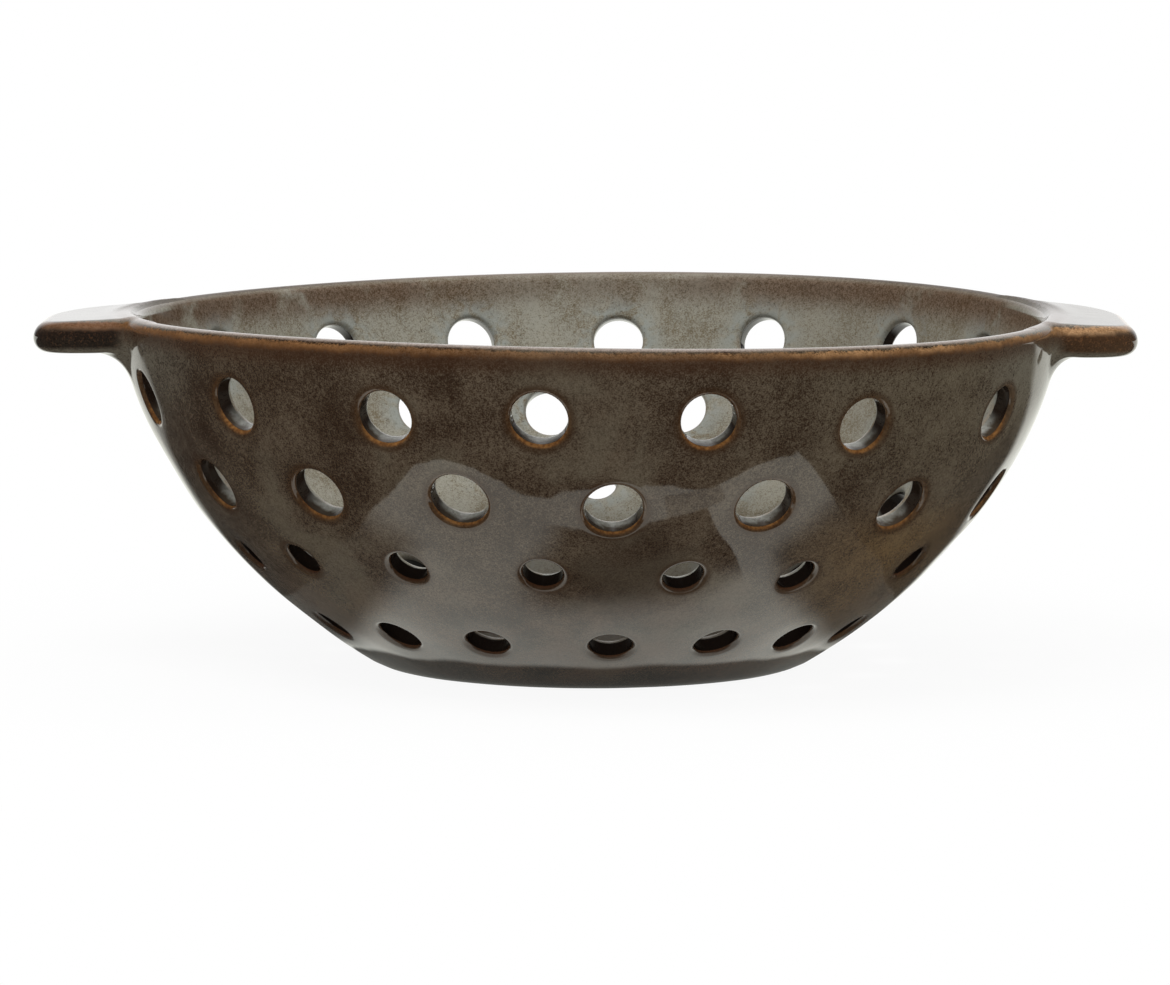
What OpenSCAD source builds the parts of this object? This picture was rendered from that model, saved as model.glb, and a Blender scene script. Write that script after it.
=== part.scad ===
// Berry colander bowl in glazed stoneware: a thrown bowl with four rows of punched
// drain holes, a wide lug handle luted to each side level with the rim, and a low foot ring.
// The origin is the centre of the foot ring's flat face. +Z is up and the handles lie along X.
// Angles round the bowl start at the front, -Y, and run towards +X.

/* [Bowl] */
// Diameter over the outside of the rim
rim_d = 202; // [185:1:230]
// Height from the table to the highest point of the rim
bowl_h = 76.8; // [72:0.1:80]
// Thickness of the wall and of its rounded lip
wall = 5; // [3.5:0.1:6.5]
// Lean of the wall from upright where it runs into the lip, in degrees
rim_angle = 9.5; // [8:0.5:12]
// Lean where the wall's upper curve runs into its lower one, in degrees
mid_angle = 37; // [34:0.5:39]
// Lean where the lower curve reaches the underside, in degrees
base_angle = 59; // [57:0.5:62]
// Diameter of the underside, where the lower curve would reach it
base_d = 93; // [86:1:100]
// Radius of the soft turn from the wall to the underside
base_turn_r = 4; // [2:0.5:8]
// Thickness of the floor
floor_t = 6; // [4.5:0.5:8]
// Radius of the inside turn from the wall to the floor
inside_turn_r = 18; // [10:1:30]

/* [Foot ring] */
// Height of the foot ring below the underside
foot_h = 0.7; // [0.6:0.1:3]
// Distance from the edge of the flat underside in to the foot ring
foot_inset = 11; // [8:0.5:16]
// Width of the foot ring
foot_w = 5; // [3:0.5:8]
// Radius of the foot ring's two rounded edges
foot_edge_r = 0.3; // [0.1:0.1:0.3]

/* [Handles] */
// How far the left handle stands out past the rim
left_reach = 17.5; // [14:0.5:24]
// How far the right handle stands out past the rim
right_reach = 15.5; // [14:0.5:24]
// Width of a handle across its two outer corners
handle_w = 58; // [44:1:66]
// Width of a handle at its root, just inside the rim
handle_root_w = 72; // [60:1:80]
// Thickness of a handle, whose edge is a full round
handle_t = 7.2; // [5:0.1:8]
// Depth of the handle's flat top below the top of the rim
handle_drop = 0.3; // [0.2:0.1:1.5]
// Radius of a handle's outer corners, seen from above
handle_corner_r = 19; // [12:0.5:21]
// Radius of the hollow fillet under a handle, against the wall
handle_fillet_r = 7; // [4:0.5:8]
// Length of the fillet under a handle, along the wall, where it meets the handle
handle_fillet_l = 48; // [30:1:52]

/* [Drain holes] */
// Diameter of the holes in the top row
top_hole_d = 11; // [8:0.5:13]
// Diameter of the holes in the second row
second_hole_d = 11.5; // [8:0.5:13]
// Diameter of the holes in the third row
third_hole_d = 9; // [7:0.5:12]
// Diameter of the holes in the lowest row
low_hole_d = 10; // [7:0.5:11]
// Depth of the top row's centres below the rim
top_row_drop = 15.6; // [14:0.1:17]
// Depth of the second row's centres below the rim
second_row_drop = 33.1; // [31:0.1:34]
// Depth of the third row's centres below the rim
third_row_drop = 49.2; // [48:0.1:51]
// Depth of the lowest row's centres below the rim
low_row_drop = 65.5; // [64:0.1:66]
// How far a hole punched by hand may stray up or down from its row
punch_stray = 3.9; // [0:0.1:4]
// Diameter of the drain holes in the floor
floor_hole_d = 8; // [5:0.5:10]
// Radius of the ring of floor holes
floor_ring_r = 22; // [15:0.5:25]
// Number of floor holes in the ring, besides the one at the centre
floor_ring_count = 6; // [4:1:8]

/* [Hidden] */

glaze_grey = "#6f7469";
bare_clay = "#a58a6c";

// Every cut runs past the face that it opens by this much
overrun = 1;
// Angle between neighbouring points of a curved outline, and half a turn, in degrees
step_angle = 4;
half_turn_angle = 180;
// Facets of a full circle, round the bowl and round a bore
round_fn = 180;
bore_fn = 48;
// Facets of a full circle in a handle, round its corners and round its edge
corner_fn = 32;
edge_fn = 16;

rim_r = rim_d / 2;
lip_r = wall / 2;

base_z = foot_h;
floor_z = foot_h + floor_t;

// The lip is a full round on the middle of the wall. From it down, the wall's outside is two
// arcs that share a tangent where its lean is mid_angle. Their radii follow from the lip, the
// underside and the three leans. Points here are [distance from the axis, height].
lip_c = [rim_r - lip_r, bowl_h - lip_r];
wall_span = [base_d / 2, base_z] - on_arc(lip_c, lip_r, rim_angle);
upper_chord = unit(mid_angle) - unit(rim_angle);
lower_chord = unit(base_angle) - unit(mid_angle);
upper_curve_r = cross(wall_span, lower_chord) / cross(upper_chord, lower_chord);
lower_curve_r = cross(upper_chord, wall_span) / cross(upper_chord, lower_chord);
upper_c = on_arc(lip_c, lip_r - upper_curve_r, rim_angle);
mid_point = on_arc(upper_c, upper_curve_r, mid_angle);
lower_c = on_arc(mid_point, -lower_curve_r, mid_angle);

// The direction out of a wall that has the given lean
function unit(lean) = [cos(lean), -sin(lean)];
// The point of an arc where its wall has the given lean
function on_arc(centre, r, lean) = centre + r * unit(lean);
// Points along an arc from one lean to another, without the last one
function arc(centre, r, from, to) =
    let (steps = ceil(abs(to - from) / step_angle))
    [for (i = [0 : steps - 1]) on_arc(centre, r, from + (to - from) * i / steps)];
// Centre of a turn of radius r that lies on the level z and inside the lower curve, whose
// radius is curve_r there, and the lean of the wall where that turn begins
function turn_c(curve_r, r, z) =
    [lower_c.x + sqrt((curve_r - r) ^ 2 - (lower_c.y - z - r) ^ 2), z + r];
function turn_lean(centre) = atan2(lower_c.y - centre.y, centre.x - lower_c.x);

// Lean of the wall, and distance of its outside from the axis, at the height z
function lean_at(z) =
    z > mid_point.y ? asin((upper_c.y - z) / upper_curve_r) : asin((lower_c.y - z) / lower_curve_r);
function radius_at(z) =
    z > mid_point.y
        ? on_arc(upper_c, upper_curve_r, lean_at(z)).x
        : on_arc(lower_c, lower_curve_r, lean_at(z)).x;

base_turn = turn_c(lower_curve_r, base_turn_r, base_z);
inside_turn = turn_c(lower_curve_r - wall, inside_turn_r, floor_z);

// The outside from the axis out and up to the lip, then the lip's round as far as the lean to
outer_points = concat(
    [[0, base_z]],
    arc(base_turn, base_turn_r, 90, turn_lean(base_turn)),
    arc(lower_c, lower_curve_r, turn_lean(base_turn), mid_angle),
    arc(upper_c, upper_curve_r, mid_angle, rim_angle)
);
function lip_points(to) = arc(lip_c, lip_r, rim_angle, to);
inner_points = concat(
    arc(upper_c, upper_curve_r - wall, rim_angle, mid_angle),
    arc(lower_c, lower_curve_r - wall, mid_angle, turn_lean(inside_turn)),
    arc(inside_turn, inside_turn_r, turn_lean(inside_turn), 90),
    [[inside_turn.x, floor_z], [0, floor_z]]
);

foot_r = base_turn.x - foot_inset;

handle_top_z = bowl_h - handle_drop;
handle_under_z = handle_top_z - handle_t;
handle_mid_z = handle_top_z - handle_t / 2;
// Centre of the hollow fillet under a handle, [distance from the axis, height], and the lean
// of the line from it to the wall
fillet_z = handle_under_z - handle_fillet_r;
fillet_c = [
    upper_c.x + sqrt((upper_curve_r + handle_fillet_r) ^ 2 - (upper_c.y - fillet_z) ^ 2),
    fillet_z
];
fillet_angle = atan2(upper_c.y - fillet_z, fillet_c.x - upper_c.x);
fillet_half_angle = asin(handle_fillet_l / rim_d);
// Lowest point of the fillet, on the wall, and the radius of the round that its tongue has
// when it is seen from the side
fillet_foot_z = on_arc(fillet_c, -handle_fillet_r, fillet_angle).y;
fillet_tall = handle_mid_z - fillet_foot_z;
tongue_r = (fillet_tall ^ 2 + (handle_fillet_l / 2) ^ 2) / (2 * fillet_tall);

// Where each hole of a row was punched, as seen in its row from the front towards the right.
// The top row leaves out the two places under the handles.
top_row = [-72, -48, -25, -6, 14, 34.5, 60, 113, 132, 155, 176, 197, 218, 241];
second_row = [-60, -38, -17, 3, 23, 46.3, 73, 90, 108, 126, 146, 166, 186, 206, 230, 254, 277];
third_row = [-67.5, -49, -28, -7, 14, 33, 59.5, 79, 98, 117, 136, 155, 178.5, 195, 219, 243, 268];
low_row = [-62, -40, -20, 4, 25, 44, 64, 85, 106, 127, 149, 174, 200, 222, 240, 259, 278];
// How far each hole strays up from its row, as a share of punch_stray
top_stray_shares = [-0.26, 0.12, 0, 0.23, 0.19, -0.26, -0.33, 0, 0, -0.23, -0.38, -0.23, -0.12, 0.23];
second_stray_shares = [-0.15, 0.04, 0.19, -0.15, 0, -0.59, -1, 0.08, 0.15, -0.08, 0, 0.04, -0.08, 0.31, 0.12, -0.12, 0.08];
third_stray_shares = [-0.26, 0.12, 0.27, 0.23, 0.08, -0.19, -0.23, 0, 0.12, -0.12, 0.08, 0.04, -0.15, 0.08, -0.08, 0.12, 0];
low_stray_shares = [0, 0.04, 0.04, 0, 0.08, -0.08, -0.15, 0.04, 0.08, -0.04, 0, 0.08, -0.08, -0.22, 0, -0.08, 0.04];

// A drain hole square to the wall, at an angle round the bowl and a height on its outside
module drain_bore(angle, z, d) {
    rotate([0, 0, angle - 90])
        translate([radius_at(z), 0, z])
            rotate([0, 90 + lean_at(z), 0])
                cylinder(d = d, h = 6 * wall, center = true, $fn = bore_fn);
}

module drain_row(angles, stray_shares, drop, d) {
    for (i = [0 : len(angles) - 1])
        drain_bore(angles[i], bowl_h - drop + stray_shares[i] * punch_stray, d);
}

module floor_bores() {
    bore_h = floor_t + 2 * overrun;
    translate([0, 0, base_z - overrun]) {
        cylinder(d = floor_hole_d, h = bore_h, $fn = bore_fn);
        for (i = [0 : floor_ring_count - 1])
            rotate([0, 0, i * 360 / floor_ring_count])
                translate([floor_ring_r, 0, 0])
                    cylinder(d = floor_hole_d, h = bore_h, $fn = bore_fn);
    }
}

module bowl_body() {
    color(glaze_grey)
        difference() {
            rotate_extrude($fn = round_fn)
                polygon(concat(outer_points, lip_points(rim_angle - half_turn_angle), inner_points));
            drain_row(top_row, top_stray_shares, top_row_drop, top_hole_d);
            drain_row(second_row, second_stray_shares, second_row_drop, second_hole_d);
            drain_row(third_row, third_stray_shares, third_row_drop, third_hole_d);
            drain_row(low_row, low_stray_shares, low_row_drop, low_hole_d);
            floor_bores();
        }
}

module foot_ring() {
    color(bare_clay)
        rotate_extrude($fn = round_fn) {
            // flat face between the two rounded edges, then the straight sides above them
            translate([foot_r - foot_w + foot_edge_r, 0]) square([foot_w - 2 * foot_edge_r, foot_h]);
            translate([foot_r - foot_w, foot_edge_r]) square([foot_w, foot_h - foot_edge_r]);
            for (x = [foot_r - foot_w + foot_edge_r, foot_r - foot_edge_r])
                translate([x, foot_edge_r]) circle(r = foot_edge_r, $fn = bore_fn);
        }
}

// A round slab of a handle's thickness with a full round edge
module handle_puck(x, y) {
    translate([x, y, handle_mid_z])
        rotate_extrude($fn = corner_fn)
            translate([handle_corner_r - handle_t / 2, 0])
                intersection() {
                    circle(r = handle_t / 2, $fn = edge_fn);
                    translate([-overrun, -handle_t]) square([handle_t, 2 * handle_t]);
                }
}

// A handle as a flat slab that narrows from its root inside the rim to its round corners
module handle_slab(reach) {
    hull()
        for (side = [-1, 1]) {
            handle_puck(rim_r + reach - handle_corner_r, side * (handle_w / 2 - handle_corner_r));
            handle_puck(rim_r - handle_corner_r, side * (handle_root_w / 2 - handle_corner_r));
        }
}

// The hollow fillet under a handle, rooted in the wall and in the slab, as a round tongue
module handle_fillet() {
    intersection() {
        rotate([0, 0, -fillet_half_angle])
            rotate_extrude(angle = 2 * fillet_half_angle, $fn = round_fn)
                polygon(concat(
                    [on_arc(fillet_c, -handle_fillet_r - lip_r, fillet_angle)],
                    arc(fillet_c, -handle_fillet_r, fillet_angle, -90),
                    [
                        [fillet_c.x, handle_under_z],
                        [fillet_c.x, handle_mid_z],
                        [radius_at(handle_mid_z) - lip_r, handle_mid_z]
                    ]
                ));
        translate([0, 0, fillet_foot_z + tongue_r])
            rotate([0, 90, 0])
                cylinder(r = tongue_r, h = rim_d, $fn = round_fn);
    }
}

// The outside of the bowl as a solid plug, which shapes a handle's seat on the wall and lip
module bowl_plug() {
    rotate_extrude($fn = round_fn)
        polygon(concat(outer_points, lip_points(-90), [[lip_c.x, bowl_h], [0, bowl_h]]));
}

module handle(reach) {
    difference() {
        union() {
            handle_slab(reach);
            handle_fillet();
        }
        bowl_plug();
    }
}

module handle_left() {
    color(glaze_grey) mirror([1, 0, 0]) handle(left_reach);
}

module handle_right() {
    color(glaze_grey) handle(right_reach);
}

bowl_body();
foot_ring();
handle_left();
handle_right();
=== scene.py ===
"""Berry colander bowl: glazed stoneware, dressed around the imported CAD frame.

Lengths are in millimetres until the meshes are made, and Blender's metres after that.
Angles round the bowl start at the front, -Y, and run towards +X.
"""

import math
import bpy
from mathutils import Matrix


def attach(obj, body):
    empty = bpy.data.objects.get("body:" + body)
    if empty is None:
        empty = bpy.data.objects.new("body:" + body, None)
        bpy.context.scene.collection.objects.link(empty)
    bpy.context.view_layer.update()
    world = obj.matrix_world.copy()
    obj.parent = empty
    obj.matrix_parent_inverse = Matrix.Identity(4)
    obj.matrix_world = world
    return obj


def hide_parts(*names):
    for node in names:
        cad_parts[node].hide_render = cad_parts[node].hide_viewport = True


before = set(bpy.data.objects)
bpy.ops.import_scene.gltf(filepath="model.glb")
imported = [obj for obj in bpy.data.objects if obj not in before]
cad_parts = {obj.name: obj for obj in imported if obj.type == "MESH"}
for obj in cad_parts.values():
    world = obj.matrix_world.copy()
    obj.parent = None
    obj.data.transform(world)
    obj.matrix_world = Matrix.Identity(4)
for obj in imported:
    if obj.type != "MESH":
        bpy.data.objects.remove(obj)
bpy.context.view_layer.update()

from types import SimpleNamespace

import bpy
import numpy as np
from mathutils import Matrix, Vector
from mathutils.geometry import delaunay_2d_cdt

MM = 0.001  # in metres

# Sizes, as in the CAD source
RIM_R, BOWL_H, WALL = 101.0, 76.8, 5.0
RIM_ANGLE, MID_ANGLE, BASE_ANGLE = 9.5, 37.0, 59.0
BASE_R, BASE_TURN_R, BASE_Z = 46.5, 4.0, 0.7
FLOOR_Z, INSIDE_TURN_R = 6.7, 18.0
LEFT_REACH, RIGHT_REACH = 17.5, 15.5
HANDLE_T, HANDLE_DROP = 7.2, 0.3
FLOOR_HOLE_R, FLOOR_RING_R, FLOOR_RING_COUNT = 4.0, 22.0, 6
PUNCH_STRAY = 3.9

# each row: depth below the rim, hole radius, angles, and how far up each hole strays, as a share
# of the most that one does
ROWS = [
    (15.6, 5.5,
     [-72, -48, -25, -6, 14, 34.5, 60, 113, 132, 155, 176, 197, 218, 241],
     [-0.26, 0.12, 0, 0.23, 0.19, -0.26, -0.33, 0, 0, -0.23, -0.38, -0.23, -0.12, 0.23]),
    (33.1, 5.75,
     [-60, -38, -17, 3, 23, 46.3, 73, 90, 108, 126, 146, 166, 186, 206, 230, 254, 277],
     [-0.15, 0.04, 0.19, -0.15, 0, -0.59, -1, 0.08, 0.15, -0.08, 0, 0.04, -0.08, 0.31, 0.12,
      -0.12, 0.08]),
    (49.2, 4.5,
     [-67.5, -49, -28, -7, 14, 33, 59.5, 79, 98, 117, 136, 155, 178.5, 195, 219, 243, 268],
     [-0.26, 0.12, 0.27, 0.23, 0.08, -0.19, -0.23, 0, 0.12, -0.12, 0.08, 0.04, -0.15, 0.08,
      -0.08, 0.12, 0]),
    (65.5, 5.0,
     [-62, -40, -20, 4, 25, 44, 64, 85, 106, 127, 149, 174, 200, 222, 240, 259, 278],
     [0, 0.04, 0.04, 0, 0.08, -0.08, -0.15, 0.04, 0.08, -0.04, 0, 0.08, -0.08, -0.22, 0,
      -0.08, 0.04]),
]

# how much wider each row's holes are than they were punched: the upper rows' edges were wiped
# round, and glaze gathered in the lower ones. Their rounds, and the dish that the wall sinks by
WIDER = [0.25, 0.25, -0.4, -0.5]
OUT_ROUND, IN_ROUND = 1.1, 1.4
DISH, DISH_REACH = 0.2, 6.5
# the rim of the thrown bowl is warped: how far it rises at front and back, and on one diagonal
WARP_FRONT, WARP_DIAGONAL = 0.48, -0.71
WARP_MOST = math.hypot(WARP_FRONT, WARP_DIAGONAL)


# The wall's profile
def unit(angle):
    """The direction that leans by an angle below the level, as radius and height."""
    return np.array([math.cos(math.radians(angle)), -math.sin(math.radians(angle))])


def cross(p, q):
    """The cross product of two plane vectors."""
    return p[0] * q[1] - p[1] * q[0]


LIP_R = WALL / 2
LIP_C = np.array([RIM_R - LIP_R, BOWL_H - LIP_R])
SPAN = np.array([BASE_R, BASE_Z]) - (LIP_C + LIP_R * unit(RIM_ANGLE))
CHORD_A = unit(MID_ANGLE) - unit(RIM_ANGLE)
CHORD_B = unit(BASE_ANGLE) - unit(MID_ANGLE)
UPPER_R = cross(SPAN, CHORD_B) / cross(CHORD_A, CHORD_B)
LOWER_R = cross(CHORD_A, SPAN) / cross(CHORD_A, CHORD_B)
UPPER_C = LIP_C - (UPPER_R - LIP_R) * unit(RIM_ANGLE)
LOWER_C = UPPER_C + (UPPER_R - LOWER_R) * unit(MID_ANGLE)


def turn(curve_r, r, z):
    """Centre of a small turn of radius r on the level z inside the lower curve, and its lean."""
    x = LOWER_C[0] + math.sqrt((curve_r - r) ** 2 - (LOWER_C[1] - z - r) ** 2)
    c = np.array([x, z + r])
    return c, math.degrees(math.atan2(LOWER_C[1] - c[1], c[0] - LOWER_C[0]))


BASE_TURN, BASE_LEAN = turn(LOWER_R, BASE_TURN_R, BASE_Z)
INSIDE_TURN, INSIDE_LEAN = turn(LOWER_R - WALL, INSIDE_TURN_R, FLOOR_Z)


def sweep(c, r, a, b, step=0.05):
    """Points along an arc, from the lean a to the lean b."""
    n = max(2, int(abs(r * math.radians(b - a)) / step))
    t = np.linspace(a, b, n)
    return np.stack([c[0] + r * np.cos(np.radians(t)), c[1] - r * np.sin(np.radians(t))], 1)


# the outside, from the lip down to the middle of the floor, and the length along it
FLOOR_POINTS = 900
outer = np.vstack([
    sweep(UPPER_C, UPPER_R, RIM_ANGLE, MID_ANGLE),
    sweep(LOWER_C, LOWER_R, MID_ANGLE, BASE_LEAN)[1:],
    sweep(BASE_TURN, BASE_TURN_R, BASE_LEAN, 90)[1:],
    np.stack([np.linspace(BASE_TURN[0], 0, FLOOR_POINTS),
              np.full(FLOOR_POINTS, BASE_Z)], 1)[1:],
])
Q = np.r_[0, np.cumsum(np.hypot(*np.diff(outer, axis=0).T))]
Q_END = Q[-1]

# the inside: the wall's offset as far as the inside turn, then turn and floor by radius
inside_wall = sweep(LOWER_C, LOWER_R, MID_ANGLE, INSIDE_LEAN)
q_turn = np.interp(-inside_wall[-1, 0], -outer[:, 0], Q)
r_turn_out = inside_wall[-1, 0]
r_turn_in = r_turn_out - WALL * math.cos(math.radians(INSIDE_LEAN))
# inside this radius the floor's upper points lie straight above the lower ones
STRAIGHT_R = 28.0


def ease(t):
    """A smooth step from 0 to 1."""
    t = np.clip(t, 0, 1)
    return t * t * (3 - 2 * t)


def inside_of(q):
    """The inside's point for each point q of the outside."""
    r, z = np.interp(q, Q, outer[:, 0]), np.interp(q, Q, outer[:, 1])
    c = np.where((q < UPPER_R * math.radians(MID_ANGLE - RIM_ANGLE))[:, None], UPPER_C, LOWER_C)
    d = np.stack([r, z], 1) - c
    d /= np.linalg.norm(d, axis=1)[:, None]
    wall = np.stack([r, z], 1) - WALL * d
    ri = r - (r_turn_out - r_turn_in) * ease((r - STRAIGHT_R) / (r_turn_out - STRAIGHT_R))
    side = np.clip(ri - INSIDE_TURN[0], 0, INSIDE_TURN_R)
    zi = INSIDE_TURN[1] - np.sqrt(INSIDE_TURN_R**2 - side**2)
    low = np.stack([ri, zi], 1)
    return np.where((q < q_turn)[:, None], wall, low)


inner = inside_of(Q)


def place(phi, q, depth):
    """Points in the wall: angle, length down the outside, and depth from 0 outside to 1 inside."""
    ro, zo = np.interp(q, Q, outer[:, 0]), np.interp(q, Q, outer[:, 1])
    ri, zi = np.interp(q, Q, inner[:, 0]), np.interp(q, Q, inner[:, 1])
    r, z = ro + (ri - ro) * depth, zo + (zi - zo) * depth
    return np.stack([r * np.sin(phi), -r * np.cos(phi), z], 1)


# a plane map of the outside that keeps angles, so that one flat triangulation serves it
RHO = np.exp(-np.r_[0, np.cumsum(np.diff(Q) / np.maximum(
    (outer[1:, 0] + outer[:-1, 0]) / 2, 0.02))])
RHO[-1] = 0


# Throwing marks and warp
rng = np.random.default_rng(11)
WAVE_COUNT, WAVE_R, WAVE_HEIGHT = 34, 90, 0.00055
WAVES = []
for _ in range(WAVE_COUNT):
    length = rng.uniform(16, 75)
    slant = rng.normal(0, 0.55)
    WAVES.append((
        round(2 * math.pi * WAVE_R / length * math.cos(slant)),
        2 * math.pi / length * math.sin(slant) + rng.normal(0, 0.05),
        rng.uniform(0, 2 * math.pi),
        WAVE_HEIGHT * length,
    ))


def finish_points(p):
    """The slow waves of throwing, then the warp of the rim, which only lowers it."""
    p = np.array(p, float)
    r = np.maximum(np.hypot(p[:, 0], p[:, 1]), 1e-6)
    phi = np.arctan2(p[:, 0], -p[:, 1])
    w = np.zeros(len(p))
    for m, k, start, size in WAVES:
        w += size * np.sin(m * phi + k * p[:, 2] + start)
    w *= ease((BOWL_H - 6 - p[:, 2]) / 14) * ease((r - 38) / 16)
    p[:, 0] += w * p[:, 0] / r
    p[:, 1] += w * p[:, 1] / r
    rise = WARP_FRONT * np.cos(2 * phi) + WARP_DIAGONAL * np.sin(2 * phi) - WARP_MOST
    p[:, 2] += p[:, 2] / BOWL_H * rise
    return p


# The bowl's mesh
# the spacing of its points, and their counts along the lip and over it, and round a hole
STEP = 2.3
LIP_COUNT, LIP_STEPS = 280, 28
HOLE_COUNT = 40
# how far the extra rings of points lie from a hole's round, and the steps over its two rounds
# and between them, as shares of the wall
GRADES = (0.75, 1.8, 3.2)
OUT_STEPS, IN_STEPS = 8, 7
BORE_DEPTHS = (0.5, 0.65)
# a distance that is past everything
FAR = 1e3


def hole_list():
    """Every hole: centre angle, place on the outside, radius, and whether it is in the floor."""
    found = []
    for (drop, r, angles, strays), wider in zip(ROWS, WIDER):
        for a, s in zip(angles, strays):
            z = BOWL_H - drop + s * PUNCH_STRAY
            q = float(np.interp(-z, -outer[:, 1], Q))
            found.append((math.radians(a), q, r + wider, False))
    found.append((0.0, Q_END, FLOOR_HOLE_R + WIDER[-1], True))
    for i in range(FLOOR_RING_COUNT):
        a = math.radians(90 + 360 / FLOOR_RING_COUNT * i)
        found.append((a, Q_END - FLOOR_RING_R, FLOOR_HOLE_R + WIDER[-1], True))
    return found


HOLES = hole_list()


def ring(hole, radius, turn_by=0.0, shape=None):
    """Angle and place of points round a hole at a distance from its axis."""
    phi0, q0, _, in_floor = hole
    t = 2 * math.pi * (np.arange(HOLE_COUNT) + turn_by) / HOLE_COUNT
    rad = radius * (1 if shape is None else shape(t))
    if in_floor:
        x = (Q_END - q0) * math.sin(phi0) + rad * np.cos(t)
        y = -(Q_END - q0) * math.cos(phi0) + rad * np.sin(t)
        return np.arctan2(x, -y), Q_END - np.hypot(x, y)
    q = q0 - rad * np.sin(t)
    return phi0 + rad * np.cos(t) / np.interp(q, Q, outer[:, 0]), q


def hole_shape():
    """A hand-punched hole is a little out of round."""
    a, b, c, d = rng.uniform(-0.022, 0.022, 4)
    return lambda t: (1 + a * np.cos(2 * t) + b * np.sin(2 * t) + c / 2 * np.cos(3 * t)
                      + d / 2 * np.sin(3 * t))


SHAPES = [hole_shape() for _ in HOLES]


def gap_to_holes(phi, q):
    """Distance on the outside from points to the nearest hole's wall."""
    best = np.full(len(phi), FAR)
    r = np.maximum(np.interp(q, Q, outer[:, 0]), 0.01)
    x, y = (Q_END - q) * np.sin(phi), -(Q_END - q) * np.cos(phi)
    for phi0, q0, hr, in_floor in HOLES:
        if in_floor:
            d = np.hypot(x - (Q_END - q0) * math.sin(phi0), y + (Q_END - q0) * math.cos(phi0))
        else:
            turned = (phi - phi0 + math.pi) % (2 * math.pi) - math.pi
            d = np.hypot(turned * r, q - q0)
        best = np.minimum(best, d - hr)
    return best


def dish(gap):
    """How far the outside sinks at a distance from a hole."""
    return DISH * (1 - ease(gap / DISH_REACH))


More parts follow.
